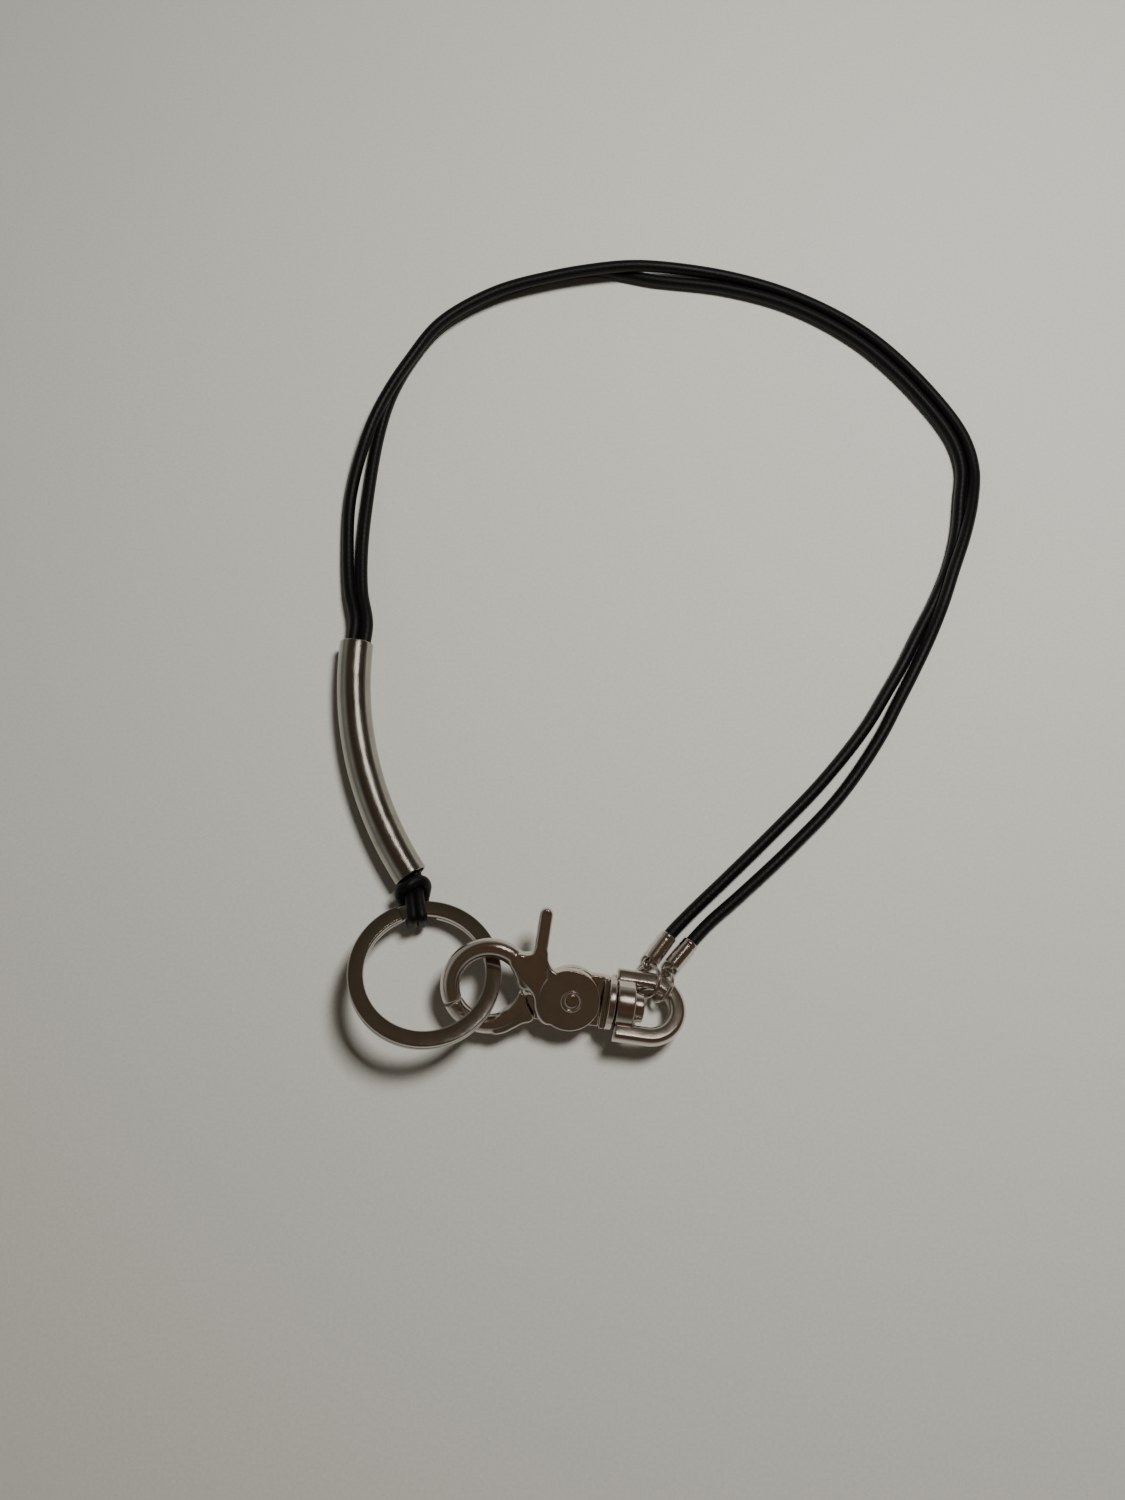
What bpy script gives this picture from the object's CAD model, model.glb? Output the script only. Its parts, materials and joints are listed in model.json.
"""Key lanyard: a doubled black cord with a scissor trigger hook, a split ring and a curved sleeve.

Every piece is a surface computed on a grid and placed from the frame's joints, in metres.
"""
import json

import bpy
import numpy as np
from bpy.props import FloatProperty, FloatVectorProperty, PointerProperty
from mathutils import Matrix


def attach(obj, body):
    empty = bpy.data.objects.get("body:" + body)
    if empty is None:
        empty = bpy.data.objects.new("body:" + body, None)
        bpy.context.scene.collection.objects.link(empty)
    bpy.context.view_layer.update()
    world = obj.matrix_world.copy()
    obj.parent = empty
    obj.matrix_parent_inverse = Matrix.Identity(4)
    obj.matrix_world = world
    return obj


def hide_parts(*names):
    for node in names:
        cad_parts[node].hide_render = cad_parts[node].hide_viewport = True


bl_info = {
    "name": "Key lanyard",
    "version": (1, 0, 0),
    "blender": (4, 2, 0),
    "location": "View3D > Sidebar > Lanyard",
    "description": "Builds a cord key lanyard with its trigger hook, split ring and sleeve",
    "category": "Add Mesh",
}

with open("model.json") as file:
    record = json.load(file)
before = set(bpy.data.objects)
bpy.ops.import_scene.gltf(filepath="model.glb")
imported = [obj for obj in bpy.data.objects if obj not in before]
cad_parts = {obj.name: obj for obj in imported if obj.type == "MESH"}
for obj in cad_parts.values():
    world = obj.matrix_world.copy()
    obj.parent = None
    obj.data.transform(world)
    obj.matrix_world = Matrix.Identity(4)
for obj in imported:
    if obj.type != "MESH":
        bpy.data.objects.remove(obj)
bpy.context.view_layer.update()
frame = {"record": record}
MM = 0.001
TAU = 2 * np.pi

# ---------------------------------------------------------------------------
# Frames of the moving parts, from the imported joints
# ---------------------------------------------------------------------------


def joint(name):
    """A joint's point and unit axis in the row frame."""
    row = next(j for j in frame["record"]["behaviour"]["joints"] if j["name"] == name)
    axis = np.array(row["axis"], float)
    return np.array(row.get("pos_m", (0, 0, 0)), float), axis / np.linalg.norm(axis)


def mount(name):
    """A mount's point and unit axis in the row frame."""
    row = next(m for m in frame["record"]["mounts"] if m["name"] == name)
    axis = np.array(row["axis"], float)
    return np.array(row["pos_m"], float), axis / np.linalg.norm(axis)


class Place:
    """A right-handed frame: an origin and three unit axes. Its points are given in millimetres."""

    def __init__(self, origin, x, z):
        self.origin = np.asarray(origin, float)
        z = np.asarray(z, float) / np.linalg.norm(z)
        x = np.asarray(x, float) - z * np.dot(x, z)
        x = x / np.linalg.norm(x)
        self.axes = np.stack([x, np.cross(z, x), z])

    def __call__(self, points_mm):
        """Origin plus each millimetre coordinate times its axis."""
        return self.origin + np.asarray(points_mm, float) * MM @ self.axes

    def tell(self, points):
        """The inverse: row-frame metres to this frame's millimetres."""
        return (np.asarray(points, float) - self.origin) @ self.axes.T / MM


pivot, pivot_axis = joint("trigger_open")
_, swivel_axis = joint("hook_swivel")
HOOK = Place(pivot, swivel_axis, -pivot_axis)
EYE = Place(pivot, swivel_axis, mount("swivel_eye")[1])
ring_centre, ring_axis = joint("ring_spin")
RING = Place(ring_centre, ring_axis * ring_axis[2] - np.array([0, 0, 1.0]), ring_axis)
HITCH_ANGLE = np.radians(30.5)
sleeve_centre, _ = joint("sleeve_slide")
WORLD = Place((0, 0, 0), (1, 0, 0), (0, 0, 1))

# Cord routes from each ferrule's mouth to the sleeve, in millimetres
ROUTE_A = [
    (30.8, -19, 1.7), (34.5, -15.2, 1.4), (42, -8.2, 1.3), (52, 1.3, 1.3), (62.5, 11.8, 1.3),
    (72, 23.3, 1.3), (76.2, 29.8, 1.3), (80.2, 36.3, 1.3), (84, 43.3, 1.3), (87.9, 50.3, 1.3),
    (91.2, 57.4, 1.3), (93.6, 65.2, 1.3), (94.9, 73.2, 1.3), (95.8, 80.3, 1.3),
    (94.6, 86.4, 1.3), (88.2, 97.1, 1.3), (75.3, 111, 1.3), (60.7, 119.9, 1.3),
    (46.9, 124.2, 1.3), (29.5, 126.6, 1.3), (24, 127.8, 1.3), (18.4, 128.7, 1.3),
    (7.8, 127.3, 1.3), (-4.7, 122.9, 1.3), (-17, 114.8, 1.3), (-23.4, 106, 1.3),
    (-27.3, 97.8, 1.3), (-29.5, 89.5, 1.3), (-31.6, 73.1, 1.3), (-32.3, 60.8, 1.4),
    (-31.8, 51.8, 1.9)]
ROUTE_B = [
    (35, -20.4, 1.7), (38.6, -16.7, 1.4), (45, -11.2, 1.3), (55.5, -1.7, 1.3), (66, 9, 1.3),
    (75, 21.5, 1.3), (78.7, 28.1, 1.3), (82.4, 34.8, 1.5), (86, 42, 2.3), (88.8, 48.7, 3.4),
    (91.5, 56.1, 3.8), (94.5, 63.8, 3.5), (97.1, 72.2, 2.6), (98.3, 80.1, 1.7),
    (97, 87.4, 1.4), (90.2, 98.9, 1.3), (77, 113.1, 1.3), (62.2, 122.1, 1.3),
    (47.3, 126.7, 2), (29.5, 128.3, 3.6), (24, 128.2, 3.8), (18.3, 127.6, 3.8),
    (7.8, 125.7, 3.7), (-5, 121.7, 3.7), (-17.1, 113.8, 3.7), (-23.4, 104.9, 3.7),
    (-27.8, 97, 3.9), (-31.2, 89.4, 3.4), (-35.2, 74, 1.4), (-35.3, 60.8, 1.4),
    (-34.4, 51.8, 1.9)]
EYELET_A = (26.47, -24.62, 2.16)
EYELET_B = (30.2, -25.83, 2.54)
SLEEVE_R = 74.0
SLEEVE_FROM, SLEEVE_TO = 175.2, 214.3
IN_SLEEVE_Z = 2.6
RING_BAND, RING_TURN = 3.0, 1.15
STRAND_GAP = 1.28

# ---------------------------------------------------------------------------
# Curves and sections
# ---------------------------------------------------------------------------


def smooth_path(points, step):
    """A path through the points: cubic Hermite pieces on chord length, whose tangents are the
    slopes of the parabola through each three neighbours, then evenly spaced along its length."""
    p = np.asarray(points, float)
    chord = np.sqrt(np.linalg.norm(np.diff(p, axis=0), axis=1)) ** 1.4
    t = np.concatenate([[0], np.cumsum(chord)])
    slope = np.gradient(p, t, axis=0, edge_order=2 if len(p) > 2 else 1)
    u = np.linspace(0, t[-1], 60 * len(p))
    i = np.clip(np.searchsorted(t, u, side="right") - 1, 0, len(p) - 2)
    h = (t[i + 1] - t[i])[:, None]
    s = ((u - t[i])[:, None]) / h
    dense = ((2 * s**3 - 3 * s**2 + 1) * p[i] + (s**3 - 2 * s**2 + s) * h * slope[i]
             + (-2 * s**3 + 3 * s**2) * p[i + 1] + (s**3 - s**2) * h * slope[i + 1])
    along = lengths(dense)
    n = max(2, int(round(along[-1] / step)) + 1)
    even = np.linspace(0, along[-1], n)
    return np.stack([np.interp(even, along, dense[:, k]) for k in range(3)], axis=1)


def lengths(path):
    """Running length along a path, starting at 0."""
    return np.concatenate([[0], np.cumsum(np.linalg.norm(np.diff(path, axis=0), axis=1))])


def tangents(path, closed=False):
    """Unit direction at each point: the difference of its two neighbours."""
    if closed:
        d = np.roll(path, -1, axis=0) - np.roll(path, 1, axis=0)
    else:
        d = np.gradient(path, axis=0)
    return d / np.linalg.norm(d, axis=1, keepdims=True)


def level_frames(path, up=(0, 0, 1), closed=False):
    """Side and up vectors square to the path, with up kept as close as it can be to the one given."""
    t = tangents(path, closed)
    side = np.cross(t, np.asarray(up, float))
    side = side / np.linalg.norm(side, axis=1, keepdims=True)
    return side, np.cross(side, t)


def carried_frames(path, up):
    """Side and up vectors carried along the path with the least twist: each one is the last one,
    with its part along the new direction taken away."""
    t = tangents(path)
    ups = np.empty_like(path)
    last = np.asarray(up, float)
    for k in range(len(path)):
        last = last - t[k] * np.dot(last, t[k])
        last = last / np.linalg.norm(last)
        ups[k] = last
    return np.cross(t, ups), ups


def round_section(sides):
    """A unit circle, counter-clockwise."""
    a = np.arange(sides) / sides * TAU
    return np.stack([np.cos(a), np.sin(a)], axis=1)


def rounded_box_section(w, h, r, per_corner=6):
    """A rectangle w by h whose four corners are arcs of radius r."""
    a = np.linspace(0, np.pi / 2, per_corner)
    a = (a[None, :] + (np.arange(4) * np.pi / 2)[:, None]).ravel()
    sign = np.repeat(np.array([[1, 1], [-1, 1], [-1, -1], [1, -1]]), per_corner, axis=0)
    centre = sign * np.array([w / 2 - r, h / 2 - r])
    return centre + r * np.stack([np.cos(a), np.sin(a)], axis=1)


def sweep(path, side, up, section):
    """Grid of points: each path point plus the section's x along side and its y along up.
    The section may be one for the whole path, or one for each point."""
    section = np.asarray(section, float)
    if section.ndim == 2:
        section = np.broadcast_to(section, (len(path),) + section.shape)
    return (path[:, None, :] + section[:, :, :1] * side[:, None, :]
            + section[:, :, 1:] * up[:, None, :])


def lathe(profile, sides=96):
    """Grid of points: each profile point (radius, height) turned round the Z axis."""
    profile = np.asarray(profile, float)
    a = np.arange(sides) / sides * TAU
    r, z = profile[:, 0][:, None], profile[:, 1][:, None]
    return np.stack([r * np.cos(a), r * np.sin(a), np.broadcast_to(z, (len(profile), sides))], axis=2)


def rim(r, z0, z1, low=0.3, high=0.3, steps=7):
    """Profile of a disc from the middle of one face to the middle of the other, with its two
    rims rounded by quarter circles."""
    a = np.linspace(0, np.pi / 2, steps)
    bottom = np.stack([r - low + low * np.sin(a), z0 + low - low * np.cos(a)], axis=1)
    top = np.stack([r - high + high * np.cos(a), z1 - high + high * np.sin(a)], axis=1)
    inner = np.linspace(0.15, 0.85, 4)[:, None]
    face0 = np.hstack([inner * (r - low), np.full_like(inner, z0)])
    face1 = np.hstack([inner[::-1] * (r - high), np.full_like(inner, z1)])
    return np.vstack([face0, bottom, top, face1])


def pillow(outline, z0, z1, edge, steps=6):
    """Plate with rounded rims. Each ring is the outline drawn in along its normals, and the rim is
    two quarter circles of radius edge: in by edge (1 - sin a), up by edge (1 - cos a)."""
    outline = np.asarray(outline, float)
    run = tangents(outline, closed=True)
    inward = np.stack([-run[:, 1], run[:, 0]], axis=1)
    if np.cross(outline, np.roll(outline, -1, axis=0)).sum() < 0:
        inward = -inward
    a = np.linspace(0, np.pi / 2, steps)
    inset = np.concatenate([edge * (1 - np.sin(a)), edge * (1 - np.cos(a))])
    z = np.concatenate([z0 + edge * (1 - np.cos(a)), z1 - edge * (1 - np.sin(a))])
    flat = outline[None] + inset[:, None, None] * inward[None]
    return np.concatenate([flat, np.broadcast_to(z[:, None, None], flat.shape[:2] + (1,))], axis=2)


def smooth_outline(points, count):
    """A closed smooth line through the corners, evenly spaced: the smooth path over three laps of
    the points, of which the middle lap is kept."""
    p = np.asarray(points, float)
    lap = np.vstack([p, p, p, p[:1]])
    flat = np.column_stack([lap, np.zeros(len(lap))])
    dense = smooth_path(flat, 0.05)[:, :2]
    along = lengths(np.column_stack([dense, np.zeros(len(dense))]))
    start = along[np.argmin(np.linalg.norm(dense[: len(dense) // 2] - p[0], axis=1)
                            + 1e3 * (along[: len(dense) // 2] < along[-1] * 0.25))]
    third = along[-1] / 3
    even = start + np.arange(count) / count * third
    return np.stack([np.interp(even, along, dense[:, k]) for k in range(2)], axis=1)


# ---------------------------------------------------------------------------
# Meshes
# ---------------------------------------------------------------------------


def grid_faces(rows, columns, closed_rows, start):
    """Quads between neighbouring rows of a grid whose columns run round, as index arrays."""
    i = np.arange(rows if closed_rows else rows - 1)
    j = np.arange(columns)
    i, j = np.meshgrid(i, j, indexing="ij")
    i2, j2 = (i + 1) % rows, (j + 1) % columns
    quads = np.stack([i * columns + j, i * columns + j2, i2 * columns + j2, i2 * columns + j],
                     axis=-1)
    return start + quads.reshape(-1, 4), i.ravel(), j.ravel()


def mesh_piece(name, grids, place=WORLD, closed_rows=False):
    """One object from one or more grids of millimetre points: rows along, columns round. The first
    and last rows are each closed by one flat face unless the rows close on themselves.
    The map gives length along in millimetres, and the share of the way round."""
    if isinstance(grids, np.ndarray) and grids.ndim == 3:
        grids = [grids]
    vertices, quads, quad_uv, ends = [], [], [], []
    start = 0
    for grid in grids:
        rows, columns = grid.shape[:2]
        q, qi, qj = grid_faces(rows, columns, closed_rows, start)
        centre_line = grid.mean(axis=1)
        along = lengths(np.vstack([centre_line, centre_line[:1]]))
        u0, u1 = along[qi], along[qi + 1]
        v0, v1 = qj / columns, (qj + 1) / columns
        quad_uv.append(np.stack([np.stack([u0, v0], 1), np.stack([u0, v1], 1),
                                 np.stack([u1, v1], 1), np.stack([u1, v0], 1)], axis=1))
        quads.append(q)
        vertices.append(grid.reshape(-1, 3))
        count = rows * columns
        if not closed_rows:
            last_row = start + (rows - 1) * columns
            ends.append((start + np.arange(columns)[::-1], 0.0))
            ends.append((last_row + np.arange(columns), along[rows - 1]))
        start += count
    vertices = place(np.vstack(vertices))
    quads = np.vstack(quads)
    loops = [quads.ravel()]
    sizes = np.full(len(quads), 4)
    uv = [np.vstack(quad_uv).reshape(-1, 2)]
    for corners, u in ends:
        loops.append(corners)
        sizes = np.append(sizes, len(corners))
        around = np.arange(len(corners)) / len(corners)
        uv.append(np.column_stack([np.full(len(corners), u), around]))
    loops = np.concatenate(loops)
    starts = np.concatenate([[0], np.cumsum(sizes)[:-1]])
    mesh = bpy.data.meshes.new(name)
    mesh.vertices.add(len(vertices))
    mesh.vertices.foreach_set("co", vertices.astype(np.float32).ravel())
    mesh.loops.add(len(loops))
    mesh.loops.foreach_set("vertex_index", loops.astype(np.int32))
    mesh.polygons.add(len(sizes))
    mesh.polygons.foreach_set("loop_start", starts.astype(np.int32))
    mesh.polygons.foreach_set("use_smooth", np.ones(len(sizes), bool))
    mesh.update(calc_edges=True)
    layer = mesh.uv_layers.new(name="along")
    layer.data.foreach_set("uv", np.concatenate(uv).astype(np.float32).ravel())
    mesh.validate()
    obj = bpy.data.objects.new(name, mesh)
    bpy.context.scene.collection.objects.link(obj)
    face_outwards(mesh)
    return obj


def face_outwards(mesh):
    """Turns every face over if the enclosed volume, the sum of the signed tetrahedra under the
    faces, comes out negative."""
    mesh.calc_loop_triangles()
    tri = np.empty(len(mesh.loop_triangles) * 3, np.int32)
    mesh.loop_triangles.foreach_get("vertices", tri)
    co = np.empty(len(mesh.vertices) * 3, np.float32)
    mesh.vertices.foreach_get("co", co)
    co = co.reshape(-1, 3).astype(float)
    co = co - co.mean(axis=0)
    a, b, c = co[tri.reshape(-1, 3)].transpose(1, 0, 2)
    if np.einsum("ij,ij->i", a, np.cross(b, c)).sum() < 0:
        mesh.flip_normals()


def cast(obj, voxel=0.13, rounds=8, factor=0.5):
    """Melts overlapping closed shells into one skin and softens its inner corners, as casting and
    tumbling do."""
    skin = obj.modifiers.new("one_skin", "REMESH")
    skin.mode = "VOXEL"
    skin.voxel_size = voxel * MM
    skin.use_smooth_shade = True
    soft = obj.modifiers.new("tumbled", "SMOOTH")
    soft.factor = factor
    soft.iterations = rounds
    return obj


def sharp_by_angle(obj, degrees=40):
    """Marks the edges between faces that meet at more than this angle, so they shade crisply."""
    obj.data.set_sharp_from_angle(angle=np.radians(degrees))
    return obj


def finish_piece(obj, material, slot, body, *nodes):
    """Gives a piece its material, its record slot, its body and the CAD nodes that it stands for."""
    obj.data.materials.append(material)
    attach(obj, body)
    if nodes:
        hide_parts(*nodes)
    return obj


# ---------------------------------------------------------------------------
# Materials
# ---------------------------------------------------------------------------


class Nodes:
    """Short way to write a node tree: each call adds a node, sets its values and links its inputs."""

    def __init__(self, name):
        self.material = bpy.data.materials.new(name)
        self.material.use_nodes = True
        self.tree = self.material.node_tree
        self.tree.nodes.clear()
        self.out = self.add("ShaderNodeOutputMaterial")
        self.shader = self.add("ShaderNodeBsdfPrincipled")
        self.link(self.shader.outputs["BSDF"], self.out.inputs["Surface"])

    def add(self, kind, **settings):
        node = self.tree.nodes.new(kind)
        for key, value in settings.items():
            setattr(node, key, value)
        return node

    def link(self, a, b):
        self.tree.links.new(a, b)

    def noise(self, vector, scale, detail=3.0, rough=0.5, distortion=0.0):
        node = self.add("ShaderNodeTexNoise")
        node.inputs["Scale"].default_value = scale
        node.inputs["Detail"].default_value = detail
        node.inputs["Roughness"].default_value = rough
        node.inputs["Distortion"].default_value = distortion
        self.link(vector, node.inputs["Vector"])
        return node.outputs["Fac"]

    def mapping(self, vector, scale, location=(0, 0, 0), rotation=(0, 0, 0)):
        node = self.add("ShaderNodeMapping")
        node.inputs["Scale"].default_value = scale
        node.inputs["Location"].default_value = location
        node.inputs["Rotation"].default_value = rotation
        self.link(vector, node.inputs["Vector"])
        return node.outputs["Vector"]

    def object_coordinates(self):
        return self.add("ShaderNodeTexCoord").outputs["Object"]

    def map_coordinates(self):
        return self.add("ShaderNodeUVMap", uv_map="along").outputs["UV"]

    def ramp(self, value, low, high, to_low, to_high):
        node = self.add("ShaderNodeMapRange")
        for key, number in zip(("From Min", "From Max", "To Min", "To Max"),
                               (low, high, to_low, to_high)):
            node.inputs[key].default_value = number
        self.link(value, node.inputs["Value"])
        return node.outputs["Result"]

    def maths(self, operation, a, b=None):
        node = self.add("ShaderNodeMath", operation=operation)
        for socket, value in zip(node.inputs, (a, b)):
            if value is None:
                continue
            if isinstance(value, (int, float)):
                socket.default_value = value
            else:
                self.link(value, socket)
        return node.outputs[0]

    def blend(self, factor, a, b):
        node = self.add("ShaderNodeMix", data_type="RGBA")
        self.link(factor, node.inputs["Factor"])
        colours = [s for s in node.inputs if s.type == "RGBA"]
        for socket, value in zip(colours, (a, b)):
            if isinstance(value, tuple):
                socket.default_value = (*value, 1)
            else:
                self.link(value, socket)
        return next(s for s in node.outputs if s.type == "RGBA")

    def bump(self, height, strength, distance, after=None):
        node = self.add("ShaderNodeBump")
        node.inputs["Strength"].default_value = strength
        node.inputs["Distance"].default_value = distance
        self.link(height, node.inputs["Height"])
        if after is not None:
            self.link(after, node.inputs["Normal"])
        return node.outputs["Normal"]

    def set(self, **values):
        names = {"base": "Base Color", "rough": "Roughness", "metal": "Metallic",
                 "normal": "Normal", "sheen": "Sheen Weight", "sheen_rough": "Sheen Roughness",
                 "specular": "Specular IOR Level"}
        for key, value in values.items():
            socket = self.shader.inputs[names[key]]
            if isinstance(value, tuple):
                socket.default_value = (*value, 1)
            elif isinstance(value, (int, float)):
                socket.default_value = value
            else:
                self.link(value, socket)
        return self.material


def plated_metal(name, colour, rough, scratch=0.25, tarnish=(0.42, 0.36, 0.28)):
    """Bright plating: fine tumbling scratches both ways, a soft orange-peel ripple, and faint
    warmer patches where the plating has dulled."""
    n = Nodes(name)
    where = n.object_coordinates()
    ripple = n.noise(where, 700, 2, 0.4)
    patches = n.noise(where, 260, 4, 0.6)
    scratch_a = n.noise(n.mapping(where, (9000, 900, 4000), rotation=(0.3, 0.2, 0.5)), 1.0, 2, 0.6)
    scratch_b = n.noise(n.mapping(where, (700, 8000, 5000), rotation=(0.1, 0.4, 1.3)), 1.0, 2, 0.6)
    dull = n.ramp(patches, 0.52, 0.78, 0.0, 0.45)
    base = n.blend(dull, colour, tuple(c * t / 0.6 for c, t in zip(colour, tarnish)))
    marks = n.maths("MAXIMUM", n.ramp(scratch_a, 0.62, 0.8, 0, 1),
                    n.ramp(scratch_b, 0.64, 0.8, 0, 1))
    spread = n.maths("ADD", n.ramp(patches, 0.3, 0.7, rough * 0.75, rough * 1.35),
                     n.maths("MULTIPLY", marks, 0.12))
    soft = n.bump(ripple, 0.05, 0.0002)
    normal = n.bump(marks, scratch, 0.00001, after=soft)
    return n.set(base=base, metal=1.0, rough=spread, normal=normal)


def scuffed_steel(name, colour):
    """Drawn steel tube that has been carried in a pocket: lengthwise draw lines, cloudy dulled
    patches, short cross scuffs and small dark pits."""
    n = Nodes(name)
    where = n.map_coordinates()
    solid = n.object_coordinates()
    lines = n.noise(n.mapping(where, (0.05, 34, 1)), 1.0, 3, 0.7)
    clouds = n.noise(solid, 210, 5, 0.65)
    scuff = n.noise(n.mapping(solid, (2600, 500, 900), rotation=(0, 0, 0.9)), 1.0, 3, 0.7)
    pits = n.noise(solid, 2300, 2, 0.5)
    worn = n.ramp(clouds, 0.42, 0.72, 0.0, 0.7)
    base = n.blend(worn, colour, tuple(c * 0.72 for c in colour))
    base = n.blend(n.ramp(pits, 0.68, 0.78, 0.0, 0.6), base, (0.12, 0.11, 0.1))
    rough = n.maths("ADD", n.ramp(clouds, 0.3, 0.75, 0.1, 0.26), n.ramp(lines, 0.3, 0.7, -0.03, 0.05))
    soft = n.bump(lines, 0.25, 0.00002)
    normal = n.bump(n.ramp(scuff, 0.58, 0.75, 0, 1), 0.35, 0.000015, after=soft)
    return n.set(base=base, metal=1.0, rough=rough, normal=normal)


def waxed_cord(name, colour, ribs=0.9):
    """Round braided cord under a black wax: two sets of fine slanting yarns that cross, worn
    smooth on top, with dusty lighter fibres between them."""
    n = Nodes(name)
    where = n.map_coordinates()
    split = n.add("ShaderNodeSeparateXYZ")
    n.link(where, split.inputs[0])
    along, round_it = split.outputs["X"], split.outputs["Y"]
    turn = n.maths("MULTIPLY", round_it, TAU * 8)
    run = n.maths("MULTIPLY", along, TAU * 0.8)
    one = n.maths("SINE", n.maths("ADD", run, turn))
    two = n.maths("SINE", n.maths("SUBTRACT", run, turn))
    weave = n.maths("MAXIMUM", one, two)
    fibre = n.noise(n.object_coordinates(), 5200, 3, 0.6)
    cloud = n.noise(n.object_coordinates(), 90, 3, 0.5)
    height = n.maths("ADD", n.ramp(weave, -0.6, 1.0, 0, 1), n.maths("MULTIPLY", fibre, 0.35))
    dusty = n.ramp(fibre, 0.55, 0.8, 0.0, 0.5)
    base = n.blend(dusty, colour, tuple(c * 2 + 0.004 for c in colour))
    rough = n.ramp(cloud, 0.3, 0.7, 0.36, 0.52)
    normal = n.bump(height, 0.22 * ribs, 0.00006)
    return n.set(base=base, rough=rough, normal=normal, sheen=0.015, sheen_rough=0.4, specular=0.22)


def tabletop(name, colour):
    """Pale matt board with a fine even grain and very soft cloudiness."""
    n = Nodes(name)
    where = n.object_coordinates()
    grain = n.noise(where, 1500, 3, 0.7)
    cloud = n.noise(where, 14, 2, 0.5)
    base = n.blend(n.ramp(grain, 0.3, 0.7, 0, 1), tuple(c * 0.93 for c in colour),
                   tuple(min(1, c * 1.05) for c in colour))
    base = n.blend(n.ramp(cloud, 0.3, 0.7, 0, 0.25), base, tuple(c * 0.97 for c in colour))
    normal = n.bump(grain, 0.15, 0.00008)
    return n.set(base=base, rough=0.85, normal=normal, specular=0.2)


MATERIALS = {}


def material(name):
    """The shared material of that name, made the first time it is asked for."""
    if name not in MATERIALS:
        look = bpy.context.scene.lanyard_finishes
        nickel, steel = tuple(look.nickel_colour), tuple(look.steel_colour)
        ring = tuple(look.ring_colour)
        make = {
            "bright_nickel": lambda: plated_metal("bright_nickel", nickel, look.nickel_roughness),
            "ring_plating": lambda: plated_metal("ring_plating", ring, 0.07, 0.3,
                                                 (0.5, 0.47, 0.42)),
            "sleeve_steel": lambda: scuffed_steel("sleeve_steel", steel),
            "spring_steel": lambda: plated_metal("spring_steel", (0.5, 0.5, 0.5), 0.3),
            "black_cord": lambda: waxed_cord("black_cord", tuple(look.cord_colour)),
            "hitch_cord": lambda: waxed_cord("hitch_cord", tuple(look.cord_colour), 1.4),
            "tabletop": lambda: tabletop("tabletop", tuple(look.table_colour)),
        }
        MATERIALS[name] = make[name]()
    return MATERIALS[name]


# ---------------------------------------------------------------------------
# Sizes and colours a user may change
# ---------------------------------------------------------------------------


class LanyardFinishes(bpy.types.PropertyGroup):
    """Colours and gloss of the lanyard's materials."""

    nickel_colour: FloatVectorProperty(
        name="Nickel", description="Colour of the hook's bright plating",
        default=(0.66, 0.6, 0.54), subtype="COLOR", min=0, max=1)
    nickel_roughness: FloatProperty(
        name="Nickel roughness", description="How blurred the plating's reflections are",
        default=0.13, min=0.02, max=0.6)
    steel_colour: FloatVectorProperty(
        name="Steel", description="Colour of the sleeve",
        default=(0.4, 0.385, 0.34), subtype="COLOR", min=0, max=1)
    ring_colour: FloatVectorProperty(
        name="Ring", description="Colour of the split ring",
        default=(0.5, 0.48, 0.45), subtype="COLOR", min=0, max=1)
    cord_colour: FloatVectorProperty(
        name="Cord", description="Colour of the waxed cord",
        default=(0.0018, 0.0018, 0.002), subtype="COLOR", min=0, max=1)
    table_colour: FloatVectorProperty(
        name="Table", description="Colour of the surface under the lanyard",
        default=(0.465, 0.46, 0.425), subtype="COLOR", min=0, max=1)


class LanyardSizes(bpy.types.PropertyGroup):
    """Sizes of the lanyard's pieces, in metres."""

    cord_diameter: FloatProperty(
        name="Cord", description="Diameter of the cord", default=0.0025, unit="LENGTH")
    ferrule_diameter: FloatProperty(
        name="Ferrule", description="Outside diameter of a ferrule", default=0.0033, unit="LENGTH")
    jump_ring_wire: FloatProperty(
        name="Jump ring wire", description="Diameter of the jump rings' wire",
        default=0.0008, unit="LENGTH")
    split_ring_diameter: FloatProperty(
        name="Split ring", description="Outside diameter of the split ring",
        default=0.0288, unit="LENGTH")
    jaw_radius: FloatProperty(
        name="Jaw radius", description="Radius of the jaws' loop on its centre line",
        default=0.0073, unit="LENGTH")
    jaw_rod: FloatProperty(
        name="Jaw rod", description="Diameter of the jaws' rod", default=0.0037, unit="LENGTH")
    lever_length: FloatProperty(
        name="Lever", description="Reach of the thumb lever from the pivot",
        default=0.0166, unit="LENGTH")
    sleeve_diameter: FloatProperty(
        name="Sleeve", description="Outside diameter of the sleeve", default=0.0068, unit="LENGTH")


class LanyardStage(bpy.types.PropertyGroup):
    """Light over the table."""

    key_power: FloatProperty(
        name="Key light", description="Power of the large soft light", default=1.9, unit="POWER")
    glint: FloatProperty(
        name="Glint", description="Share of the key light that shows in the metal",
        default=0.4, min=0)
    sky_strength: FloatProperty(
        name="Room", description="Strength of the light from the room", default=0.5, min=0)


def size(name):
    """A size from the panel, in millimetres."""
    return getattr(bpy.context.scene.lanyard_sizes, name) / MM


# ---------------------------------------------------------------------------
# Pieces
# ---------------------------------------------------------------------------


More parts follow.
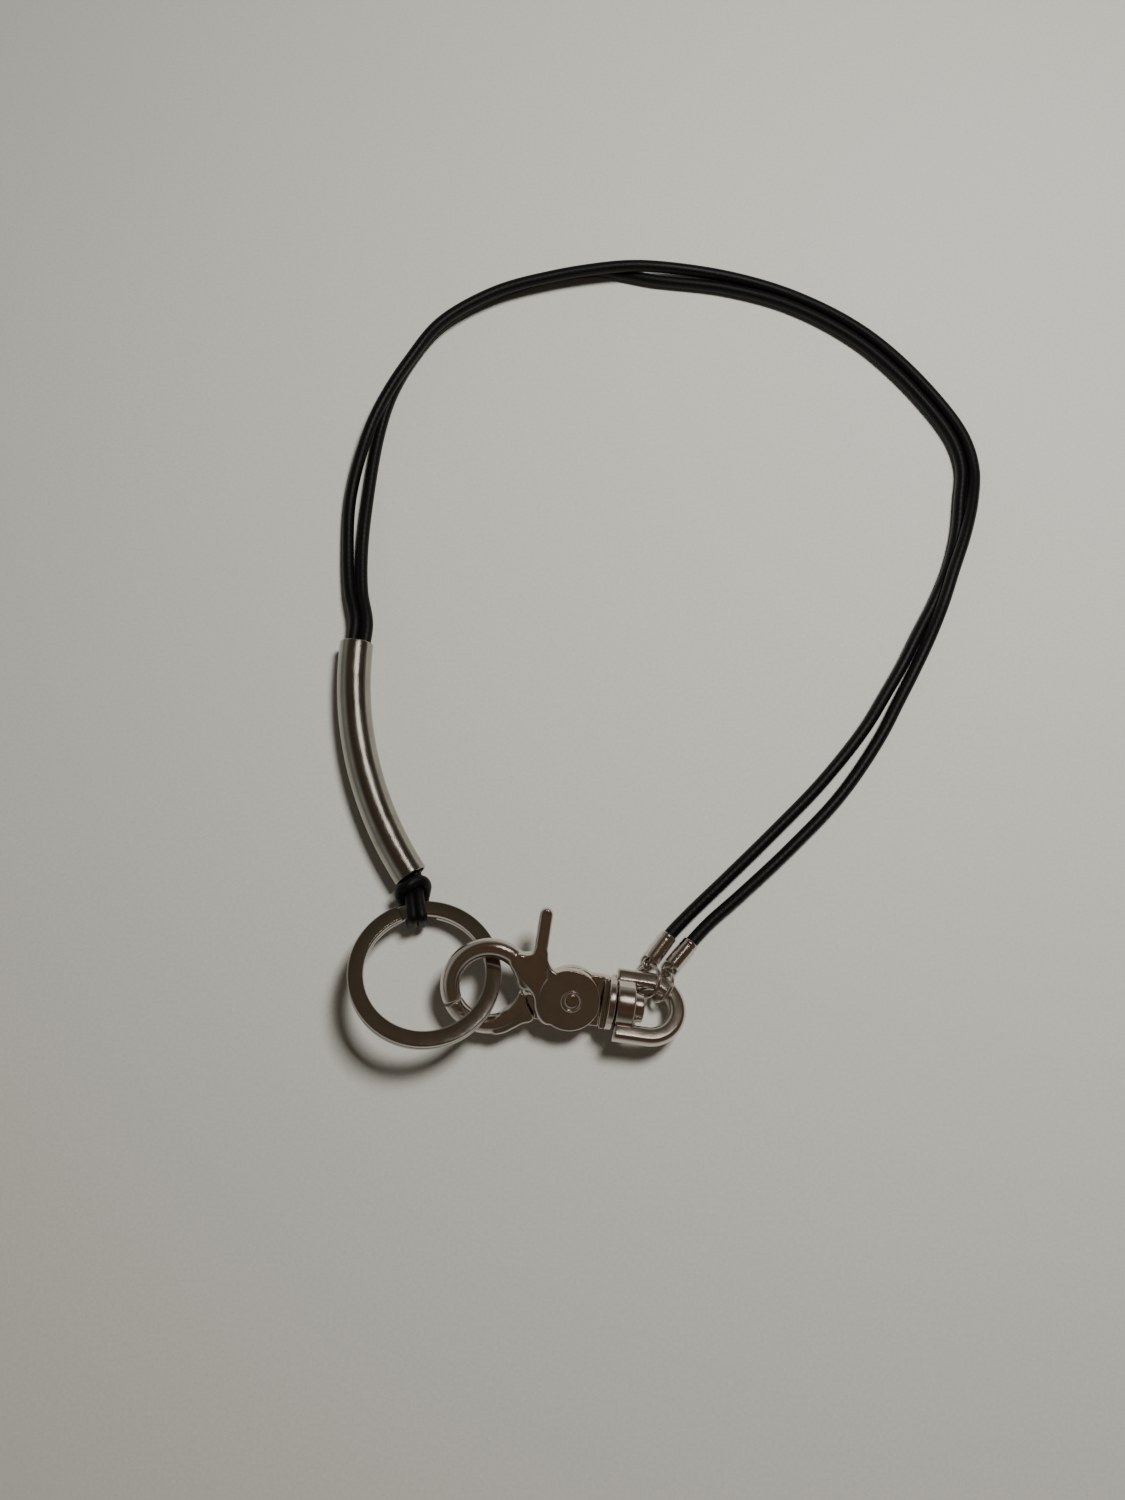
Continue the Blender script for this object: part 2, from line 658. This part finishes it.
def in_sleeve(angles, side):
    """Points of one run inside the sleeve: a circle about the bend's centre, a little in or out."""
    a = np.radians(np.atleast_1d(angles))
    r = SLEEVE_R + side * STRAND_GAP
    centre = sleeve_centre / MM
    return np.stack([centre[0] + r * np.cos(a), centre[1] + r * np.sin(a),
                     np.full(len(a), IN_SLEEVE_Z)], axis=1)


def cord_line(route, eyelet, side):
    """Centre line of one run: straight out of its ferrule, through the route, then round the
    sleeve's bend to its lower mouth."""
    route = np.asarray(route, float)
    back = route[0] - np.asarray(eyelet)
    start = route[0] - back / np.linalg.norm(back) * 3.6
    bend = in_sleeve(np.linspace(171.5, 213, 8), side)
    return smooth_path(np.vstack([start, route, bend]), 0.8)


class LANYARD_OT_cords(bpy.types.Operator):
    """Lays the two runs of cord from the ferrules round the loop into the sleeve"""

    bl_idname = "lanyard.cords"
    bl_label = "Cords"

    def execute(self, context):
        radius = size("cord_diameter") / 2
        for name, route, eyelet, side in (("cord_a", ROUTE_A, EYELET_A, -1),
                                          ("cord_b", ROUTE_B, EYELET_B, 1)):
            line = cord_line(route, eyelet, side)
            s, u = level_frames(line)
            body = mesh_piece(name + "_run", sweep(line, s, u, radius * round_section(20)))
            finish_piece(body, material("black_cord"), "cord", "strap", name)
        return {"FINISHED"}


class LANYARD_OT_hitch(bpy.types.Operator):
    """Ties the cord's closed end round the split ring's band in a cow hitch"""

    bl_idname = "lanyard.hitch"
    bl_label = "Cow hitch"

    def execute(self, context):
        c, s = np.cos(HITCH_ANGLE), np.sin(HITCH_ANGLE)
        mid = size("split_ring_diameter") / 2 - RING_BAND / 2
        outward = RING.axes[0] * c + RING.axes[1] * s
        centre = RING(np.array([mid * c, mid * s, 0]))
        band = Place(centre, outward, RING.axes[2])    # x out, y along the ring, z up
        starts = [band.tell(in_sleeve([209, 213], side) * MM) for side in (-1, 1)]
        half = np.array([
            (4.6, 1.0, 1.3), (3.3, 0.95, 1.8), (1.6, 0.92, 2.05), (0, 0.9, 2.08), (-1.4, 0.9, 2.05),
            (-2.2, 0.93, 1.8), (-2.42, 0.97, 0), (-2.2, 1.05, -1.8), (-1.4, 1.15, -2.08),
            (0, 1.35, -2.12), (1.6, 1.6, -2.08), (2.5, 1.95, -1.4), (3.3, 2.4, -0.2),
            (3.9, 2.6, 1.4), (4.2, 2.0, 2.9), (4.3, 0.9, 3.4)])
        lean = np.clip(half[:, :1] - 2.5, 0, 1) * np.array([0.45, 0, 0])   # the bar lies aslant
        right, half = half * np.array([1, -1, 1]) + lean, half - lean
        line = np.vstack([starts[0], right, (4.4, 0, 3.5), half[::-1], starts[1][::-1]])
        line = smooth_path(line, 0.3)
        along = lengths(line)
        share = np.abs(along / along[-1] - 0.5) * 2      # 0 at the bar, 1 at the sleeve
        wide = np.interp(share, [0, 0.12, 0.3, 0.62, 0.78, 1], [1.1, 1.12, 0.96, 0.96, 1.2, 1.22])
        thick = np.interp(share, [0, 0.12, 0.26, 0.68, 0.8, 1], [1.1, 1.08, 0.76, 0.76, 1.2, 1.22])
        si, up = carried_frames(line, (0, 0, 1.0))
        squeezed = round_section(20)[None] * np.stack([wide, thick], axis=1)[:, None, :]
        grid = sweep(line, si, up, squeezed)
        loop = mesh_piece("cord_hitch_loop", grid, place=band)
        finish_piece(loop, material("hitch_cord"), "cord", "strap", "cord_hitch")
        return {"FINISHED"}


class LANYARD_OT_ferrules(bpy.types.Operator):
    """Crimps a cup with a wire eyelet on each end of the cord"""

    bl_idname = "lanyard.ferrules"
    bl_label = "Ferrules"

    def execute(self, context):
        r = size("ferrule_diameter") / 2
        for name, route, eyelet, ring_joint in (
                ("ferrule_a", ROUTE_A, EYELET_A, "jump_ring_a_spin"),
                ("ferrule_b", ROUTE_B, EYELET_B, "jump_ring_b_spin")):
            eye, mouth = np.array(eyelet) * MM, np.array(route[0]) * MM
            along = mouth - eye
            long = np.linalg.norm(along) / MM
            cup = Place(eye, (0, 0, 1), along)
            a = np.linspace(0, np.pi / 2, 8)
            bend = 0.35
            shoulder = np.stack([r - bend + bend * np.sin(a), long - 5.65 - bend * np.cos(a)],
                                axis=1)
            stem = [(0.12, 0.75), (0.42, 0.8), (0.45, 1.2), (0.6, long - 6.05)]
            lip = [(r, long - 5.5), (r, long - 1.4), (r, long - 1.15), (r - 0.05, long - 1.05),
                   (r - 0.05, long - 0.9), (r, long - 0.8), (r + 0.02, long - 0.15),
                   (r - 0.08, long), (r - 0.3, long - 0.02),
                   (r - 0.34, long - 0.3), (r - 0.34, long - 3.5), (0.2, long - 3.6)]
            shell = lathe(np.vstack([stem, shoulder, lip]), 64)
            cup_piece = mesh_piece(name + "_cup", shell, place=cup)
            sharp_by_angle(cup_piece)
            finish_piece(cup_piece, material("bright_nickel"), "nickel", "strap", name)
            ring_point, ring_normal = joint(ring_joint)
            reach = eye - ring_point
            tangent = np.cross(ring_normal, reach / np.linalg.norm(reach))
            loop_place = Place(eye, along, tangent)
            loop = mesh_piece(name + "_eyelet", wire_ring(1.0, 0.34), place=loop_place,
                              closed_rows=True)
            finish_piece(loop, material("bright_nickel"), "nickel", "strap")
        return {"FINISHED"}


def wire_ring(radius, wire, steps=72, sides=20):
    """A torus grid: the wire's circle carried round a circle of the radius."""
    a = np.arange(steps) / steps * TAU
    path = np.stack([radius * np.cos(a), radius * np.sin(a), np.zeros(steps)], axis=1)
    side, up = level_frames(path, closed=True)
    return sweep(path, side, up, wire * round_section(sides))


class LANYARD_OT_jump_rings(bpy.types.Operator):
    """Bends the two wire rings that tie the eyelets to the swivel eye"""

    bl_idname = "lanyard.jump_rings"
    bl_label = "Jump rings"

    def execute(self, context):
        wire = size("jump_ring_wire") / 2
        for letter in "ab":
            point, normal = joint(f"jump_ring_{letter}_spin")
            ring = mesh_piece(f"jump_ring_{letter}_wire", wire_ring(3.0, wire, 120),
                              place=Place(point, (1, 0.3, 0), normal), closed_rows=True)
            finish_piece(ring, material("bright_nickel"), "nickel", f"jump_{letter}",
                         f"jump_ring_{letter}")
        return {"FINISHED"}


class LANYARD_OT_swivel_eye(bpy.types.Operator):
    """Casts the D-shaped eye with its barrel"""

    bl_idname = "lanyard.swivel_eye"
    bl_label = "Swivel eye"

    def execute(self, context):
        x0, x1, bow_x, bow_r = 8.45, 11.9, 14.85, 5.5
        a = np.linspace(-np.pi / 2, np.pi / 2, 49)
        straight = np.linspace(x0, bow_x, 12)[:-1]
        low = np.stack([straight, np.full(11, -bow_r), np.zeros(11)], axis=1)
        bend = np.stack([bow_x + bow_r * np.cos(a), bow_r * np.sin(a), np.zeros(49)], axis=1)
        high = low[::-1] * np.array([1, -1, 1])
        path = np.vstack([low, bend, high])
        side, up = level_frames(path)
        bow = sweep(path, side, up, rounded_box_section(3.3, 3.0, 1.05, 8))
        outer = rim(4.7, x0, x1, 0.3, 0.45)
        outer = outer[outer[:, 0] > 2.0]
        bore = np.array([(1.56, x1), (1.56, x0)])
        barrel = lathe(np.vstack([outer, bore]), 96)
        barrel = barrel[..., [2, 0, 1]]
        eye = mesh_piece("swivel_eye_bow", bow, place=EYE)
        finish_piece(eye, material("bright_nickel"), "nickel", "eye", "swivel_eye")
        collar = mesh_piece("swivel_eye_barrel", barrel, place=EYE, closed_rows=True)
        sharp_by_angle(collar)
        finish_piece(collar, material("bright_nickel"), "nickel", "eye")
        return {"FINISHED"}


class LANYARD_OT_swivel_post(bpy.types.Operator):
    """Turns the post that the barrel swivels on, with its head and the hook's flange"""

    bl_idname = "lanyard.swivel_post"
    bl_label = "Swivel post"

    def execute(self, context):
        head = rim(2.83, 11.98, 13.86, 0.12, 0.45)
        shaft = np.array([(0.4, 7.0), (1.5, 7.0), (1.5, 11.99), (1.6, 12.0)])
        post = lathe(np.vstack([shaft, head[head[:, 0] > 1.8], [(0.4, 13.88)]]), 72)[..., [2, 0, 1]]
        piece = mesh_piece("swivel_post_head", post, place=HOOK)
        sharp_by_angle(piece)
        finish_piece(piece, material("bright_nickel"), "nickel", "hook", "swivel_post")
        return {"FINISHED"}


# Hook frame, in millimetres and degrees: the pivot is the origin, and x runs back along the post
JAW_MIDDLE = -15.7
MOVING_JAW, FIXED_JAW = (209.8, 20), (213.6, 335)
DISC_R, DISC_FACE = 5.85, 2.4
FRONT_DISC_X = -0.35
LEVER_X, LEVER_Z, LEVER_ROOT = -7.05, 0.6, 5.5
LEVER_THICK = 2.5


def jaw_arc(start, end, steps=60):
    """A round rod bent on the jaws' circle from one angle to the other, cut square at its ends."""
    radius, rod = size("jaw_radius"), size("jaw_rod") / 2
    a = np.radians(np.linspace(start, end, steps))
    path = np.stack([JAW_MIDDLE + radius * np.cos(a), radius * np.sin(a), np.zeros(steps)], axis=1)
    side, up = level_frames(path)
    return sweep(path, side, up, rod * round_section(32))


class LANYARD_OT_trigger(bpy.types.Operator):
    """Casts the moving jaw with its disc, neck and thumb lever"""

    bl_idname = "lanyard.trigger"
    bl_label = "Trigger"

    def execute(self, context):
        neck = smooth_outline([
            (-10.3, 1.2), (-9.4, 0.55), (-8.1, 0.45), (-7.2, -0.6), (-6.75, -2.3), (-6.1, -3.7),
            (-4.9, -5), (-3.6, -5.3), (-1.5, -3), (-1.2, 2), (-3.0, 4.6), (-4.5, 5.6), (-5.3, 6.8),
            (-5.7, 8.6), (-7.05, 9.6), (-8.35, 8.6), (-8.6, 7.7), (-9.7, 7.3), (-11, 7.3),
            (-12.6, 5.4), (-11.6, 3.6), (-10.8, 2.3)], 240)
        front = pillow(neck, 0.12, DISC_FACE, 0.6)
        fall = np.clip((np.hypot(front[..., 0], front[..., 1]) - 6.3) * 0.2, 0, 0.52)
        front[..., 2] -= fall * (front[..., 2] > 1.3)
        jaw = jaw_arc(*MOVING_JAW, steps=90)
        disc = lathe(rim(DISC_R, 0.1, DISC_FACE, 0.1, 0.3), 128) + np.array([FRONT_DISC_X, 0, 0])
        tip, wide = size("lever_length"), 1.3
        a = np.linspace(0, np.pi / 2, 9)
        length = np.concatenate([np.linspace(LEVER_ROOT, tip - wide, 16),
                                 tip - wide + wide * np.sin(a)[1:]])
        share = np.concatenate([np.ones(16), np.maximum(np.cos(a)[1:], 0.12)])
        path = np.stack([np.full(len(length), LEVER_X), length, np.full(len(length), LEVER_Z)],
                        axis=1)
        side = np.broadcast_to(np.array([1.0, 0, 0]), path.shape)
        up = np.broadcast_to(np.array([0, 0, 1.0]), path.shape)
        section = rounded_box_section(2 * wide, LEVER_THICK, 0.7)
        lever = sweep(path, side, up, section[None] * np.stack([share, share**0.3], 1)[:, None, :])
        back = smooth_outline([(-12.7, 5.4), (-11.6, 3.6), (-10.6, 2.0), (-9.4, 0.75), (-8.2, 0.75),
                               (-7.2, 2.6), (-6.5, 5.3), (-5.9, 7.6), (-7, 9.2), (-8.4, 7.8),
                               (-9.7, 7.3), (-11.2, 7.3)], 160)
        deep = pillow(back, -1.7, 1.3, 0.6)
        piece = mesh_piece("trigger_casting", [front, jaw, disc, lever, deep], place=HOOK)
        cast(piece, rounds=14)
        finish_piece(piece, material("bright_nickel"), "nickel", "trigger", "trigger_jaw")
        return {"FINISHED"}


class LANYARD_OT_hook_body(bpy.types.Operator):
    """Casts the fixed jaw with its horn, back disc and block, and turns its flange"""

    bl_idname = "lanyard.hook_body"
    bl_label = "Hook body"

    def execute(self, context):
        jaw = jaw_arc(*FIXED_JAW)
        horn = smooth_outline([
            (-10.3, -0.9), (-10, -0.2), (-9.3, 0.1), (-8.7, -0.3), (-8, -2.1), (-7.2, -3.3),
            (-6.4, -4.6), (-6.9, -5.4), (-8.2, -5.9), (-9.9, -7.1), (-11.7, -8.3), (-13.6, -8.7),
            (-14.3, -7.6), (-12.9, -4.7), (-11.6, -3.6), (-10.7, -2.2)], 200)
        plate = pillow(horn, -1.7, 1.7, 0.6)
        web = pillow(smooth_outline([(-9.2, -0.9), (-8.2, -5.4), (-6.2, -5.2), (-3, -4.8),
                                     (-3, -0.8), (-6, -0.6)], 120), -1.75, -0.12, 0.3)
        disc = lathe(rim(DISC_R, -DISC_FACE, -0.12, 0.3, 0.1), 128)
        block = pillow(rounded_box_section(7.6, 9.8, 0.7, 8) + np.array([3.1, 0]), -2.4, -0.12, 0.3)
        slope = pillow(rounded_box_section(1.0, 9.8, 0.3, 8) + np.array([6.35, 0]), -2.3, 1.0, 0.25)
        piece = mesh_piece("hook_casting", [jaw, plate, web, disc, block, slope], place=HOOK)
        cast(piece)
        finish_piece(piece, material("bright_nickel"), "nickel", "hook", "hook_body")
        rims = np.vstack([rim(5.1, 6.8, 8.1, 0.25, 0.25)[:-4], rim(3.6, 8.05, 8.4, 0.05, 0.3)[4:]])
        flange = mesh_piece("hook_flange", lathe(rims, 96)[..., [2, 0, 1]], place=HOOK)
        sharp_by_angle(flange)
        finish_piece(flange, material("bright_nickel"), "nickel", "hook")
        return {"FINISHED"}


class LANYARD_OT_rivet(bpy.types.Operator):
    """Heads the rivet that the trigger turns on, with a ring groove in its head"""

    bl_idname = "lanyard.rivet"
    bl_label = "Rivet"

    def execute(self, context):
        a = np.linspace(0, np.pi / 2, 8)
        dome = np.stack([1.28 * np.cos(a), 2.66 + 0.24 * np.sin(a)], axis=1)[:-1]
        profile = np.vstack([[(0.4, -2.75), (1.9, -2.75), (2.05, -2.6), (2.05, -2.42), (1.35, -2.41),
                              (1.35, 2.43), (2.0, 2.43), (2.05, 2.55), (2.02, 2.74), (1.9, 2.82),
                              (1.72, 2.82), (1.62, 2.72), (1.55, 2.62), (1.38, 2.6)], dome])
        piece = mesh_piece("pivot_rivet_head", lathe(profile, 96), place=HOOK)
        sharp_by_angle(piece, 50)
        finish_piece(piece, material("bright_nickel"), "nickel", "hook", "pivot_rivet")
        return {"FINISHED"}


class LANYARD_OT_spring(bpy.types.Operator):
    """Winds the torsion spring hidden between the discs"""

    bl_idname = "lanyard.spring"
    bl_label = "Torsion spring"

    def execute(self, context):
        t = np.linspace(0, 3, 145)
        coil = np.stack([2.3 * np.cos(TAU * t), 2.3 * np.sin(TAU * t), 1.3 * (t / 3 - 0.5)], axis=1)
        path = np.vstack([(2.5, -1.4, -0.65), coil, (2.5, 1.4, 0.65)])
        side, up = level_frames(path)
        piece = mesh_piece("torsion_spring_wire", sweep(path, side, up, 0.2 * round_section(12)),
                           place=HOOK)
        finish_piece(piece, material("spring_steel"), "spring_steel", "hook", "torsion_spring")
        return {"FINISHED"}


class LANYARD_OT_split_ring(bpy.types.Operator):
    """Winds the split ring: one flat wire, two turns, stepping across under the hitch"""

    bl_idname = "lanyard.split_ring"
    bl_label = "Split ring"

    def execute(self, context):
        outer = size("split_ring_diameter") / 2
        band, turn = RING_BAND, RING_TURN
        middle = np.degrees(HITCH_ANGLE)
        step, gap = 24.0, 5.0
        total = 720 - step - 2 * gap
        a = np.linspace(0, total, 460)                   # degrees along the wire
        first = 360 - step / 2 - gap                     # where the wire starts to step across
        rise = np.clip((a - first) / step, 0, 1)
        rise = rise * rise * (3 - 2 * rise)
        z = 0.6 - 1.2 * rise
        angle = np.radians(middle + step / 2 + gap / 2 + a)
        r = outer - band / 2
        path = np.stack([r * np.cos(angle), r * np.sin(angle), z], axis=1)
        out = np.stack([np.cos(angle), np.sin(angle), np.zeros_like(angle)], axis=1)
        up = np.broadcast_to(np.array([0, 0, 1.0]), path.shape)
        section = rounded_box_section(band, turn, 0.33, 6)
        wire = mesh_piece("split_ring_wire", sweep(path, out, up, section), place=RING)
        sharp_by_angle(wire, 50)
        finish_piece(wire, material("ring_plating"), "ring_steel", "ring", "split_ring")
        return {"FINISHED"}


class LANYARD_OT_sleeve(bpy.types.Operator):
    """Draws the curved tube over both runs of cord"""

    bl_idname = "lanyard.sleeve"
    bl_label = "Sleeve"

    def execute(self, context):
        r_out, r_in = size("sleeve_diameter") / 2, 2.95
        lip = (r_out - r_in) / 2
        total = np.radians(SLEEVE_TO - SLEEVE_FROM) * SLEEVE_R
        a = np.linspace(0, np.pi, 9)
        station = np.linspace(lip, total - lip, 72)
        low = np.stack([lip - lip * np.sin(a), r_out - lip + lip * np.cos(a)], axis=1)[::-1]
        high = np.stack([total - lip + lip * np.sin(a), r_out - lip + lip * np.cos(a)], axis=1)
        ring = np.vstack([low, np.stack([station[1:-1], np.full(70, r_out)], axis=1), high,
                          np.stack([station[1:-1][::-1], np.full(70, r_in)], axis=1)])
        angle = np.radians(SLEEVE_FROM) + ring[:, 0] / SLEEVE_R
        out = np.stack([np.cos(angle), np.sin(angle), np.zeros_like(angle)], axis=1)
        path = sleeve_centre / MM + SLEEVE_R * out
        up = np.broadcast_to(np.array([0, 0, 1.0]), path.shape)
        grid = sweep(path, out, up, round_section(64)[None] * ring[:, 1][:, None, None])
        tube = mesh_piece("sleeve_tube_wall", grid, closed_rows=True)
        finish_piece(tube, material("sleeve_steel"), "sleeve_steel", "sleeve", "sleeve_tube")
        return {"FINISHED"}


# Metres, degrees and millimetres of lens
CAMERA_AT = (0.010, -0.0332, 0.224)
CAMERA_TILT = 13
LENS_MM = 27.05
LAMP_TARGET = np.array([0.035, 0.045, 0.0])
LAMP_AZIMUTH, LAMP_ELEVATION = 43, 68
LAMP_DISTANCE, LAMP_WIDTH = 0.41, 0.1
LAMP_COLOUR = (1.0, 0.985, 0.94)
# Which way the room is darkest, and its colours by how far a direction lies along that way
DARK_WAY = (0.3, 0.02, 0.95)
ROOM_BANDS = [(0.0, (0.5, 0.49, 0.46)), (0.2, (0.66, 0.64, 0.6)), (0.4, (0.26, 0.24, 0.2)),
              (0.58, (0.1, 0.088, 0.066)), (0.82, (0.16, 0.115, 0.076)),
              (1.0, (0.14, 0.065, 0.034))]


class LANYARD_OT_stage(bpy.types.Operator):
    """Sets the table, the lights, the room and the camera"""

    bl_idname = "lanyard.stage"
    bl_label = "Table, light and camera"

    def execute(self, context):
        scene = context.scene
        look = scene.lanyard_stage
        edge = 3.0
        grid = np.array([[(-edge, -edge, 0), (edge, -edge, 0)], [(-edge, edge, 0), (edge, edge, 0)]])
        mesh = bpy.data.meshes.new("table")
        mesh.from_pydata(grid.reshape(-1, 3).tolist(), [], [(0, 1, 3, 2)])
        table = bpy.data.objects.new("table", mesh)
        table.data.materials.append(material("tabletop"))
        scene.collection.objects.link(table)

        # One lamp in two parts: mirror-like reflections show only the weaker one
        key = soft_light("key", look.key_power)
        key.visible_glossy = False
        soft_light("glint", look.key_power * look.glint)
        room_light(scene, look.sky_strength)

        lens = bpy.data.cameras.new("camera")
        lens.sensor_fit = "VERTICAL"
        lens.sensor_height = 36.0
        lens.lens = LENS_MM
        lens.clip_start = 0.01
        camera = bpy.data.objects.new("camera", lens)
        camera.location = CAMERA_AT
        camera.rotation_euler = (np.radians(CAMERA_TILT), 0, 0)
        scene.collection.objects.link(camera)
        scene.camera = camera
        return {"FINISHED"}


def soft_light(name, power):
    """A square light at the lamp's place, which faces its target from a direction given by its
    azimuth from +X and its height above the table."""
    az, el = np.radians(LAMP_AZIMUTH), np.radians(LAMP_ELEVATION)
    toward = np.array([np.cos(az) * np.cos(el), np.sin(az) * np.cos(el), np.sin(el)])
    place = Place(LAMP_TARGET + toward * LAMP_DISTANCE, np.cross((0, 0, 1.0), toward), toward)
    light = bpy.data.lights.new(name, "AREA")
    light.shape = "SQUARE"
    light.size = LAMP_WIDTH
    light.energy = power
    light.color = LAMP_COLOUR
    lamp = bpy.data.objects.new(name, light)
    turned = np.eye(4)
    turned[:3, :3] = place.axes.T
    turned[:3, 3] = place.origin
    lamp.matrix_world = Matrix(turned.tolist())
    bpy.context.scene.collection.objects.link(lamp)
    return lamp


def room_light(scene, strength):
    """A room that is dark brown overhead, a little to the right, and lighter towards the walls: a
    colour band read from how far each direction lies along that dark one."""
    world = scene.world or bpy.data.worlds.new("room")
    scene.world = world
    world.use_nodes = True
    tree = world.node_tree
    tree.nodes.clear()
    out = tree.nodes.new("ShaderNodeOutputWorld")
    background = tree.nodes.new("ShaderNodeBackground")
    background.inputs["Strength"].default_value = strength
    coordinates = tree.nodes.new("ShaderNodeTexCoord")
    height = tree.nodes.new("ShaderNodeVectorMath")
    height.operation = "DOT_PRODUCT"
    height.inputs[1].default_value = DARK_WAY
    bands = tree.nodes.new("ShaderNodeValToRGB")
    while len(bands.color_ramp.elements) < len(ROOM_BANDS):
        bands.color_ramp.elements.new(0.5)
    for element, (position, colour) in zip(bands.color_ramp.elements, ROOM_BANDS):
        element.position = position
        element.color = (*colour, 1)
    tree.links.new(coordinates.outputs["Generated"], height.inputs[0])
    tree.links.new(height.outputs["Value"], bands.inputs[0])
    tree.links.new(bands.outputs["Color"], background.inputs["Color"])
    tree.links.new(background.outputs[0], out.inputs["Surface"])


PIECES = (
    LANYARD_OT_stage, LANYARD_OT_hitch, LANYARD_OT_cords, LANYARD_OT_ferrules,
    LANYARD_OT_jump_rings, LANYARD_OT_swivel_eye, LANYARD_OT_swivel_post, LANYARD_OT_hook_body,
    LANYARD_OT_trigger, LANYARD_OT_rivet, LANYARD_OT_spring, LANYARD_OT_split_ring,
    LANYARD_OT_sleeve)


class LANYARD_PT_panel(bpy.types.Panel):
    """Lists the lanyard's sizes, finishes and pieces"""

    bl_idname = "LANYARD_PT_panel"
    bl_label = "Key lanyard"
    bl_space_type = "VIEW_3D"
    bl_region_type = "UI"
    bl_category = "Lanyard"

    def draw(self, context):
        for group in ("lanyard_sizes", "lanyard_finishes", "lanyard_stage"):
            settings = getattr(context.scene, group)
            for name in settings.bl_rna.properties.keys():
                if name not in ("rna_type", "name"):
                    self.layout.prop(settings, name)
        for piece in PIECES:
            self.layout.operator(piece.bl_idname)


GROUPS = (("lanyard_finishes", LanyardFinishes), ("lanyard_sizes", LanyardSizes),
          ("lanyard_stage", LanyardStage))


def register():
    """Registers the settings, the pieces and the panel."""
    for name, group in GROUPS:
        bpy.utils.register_class(group)
        setattr(bpy.types.Scene, name, PointerProperty(type=group))
    for piece in PIECES:
        bpy.utils.register_class(piece)
    bpy.utils.register_class(LANYARD_PT_panel)


def unregister():
    """Takes them away again."""
    bpy.utils.unregister_class(LANYARD_PT_panel)
    for piece in reversed(PIECES):
        bpy.utils.unregister_class(piece)
    for name, group in reversed(GROUPS):
        delattr(bpy.types.Scene, name)
        bpy.utils.unregister_class(group)


def main():
    """Builds every piece in order."""
    register()
    for piece in PIECES:
        family, name = piece.bl_idname.split(".")
        result = getattr(getattr(bpy.ops, family), name)()
        if result != {"FINISHED"}:
            raise RuntimeError(f"{piece.bl_label} was not made")
    bpy.context.view_layer.update()


if __name__ == "__main__":
    main()
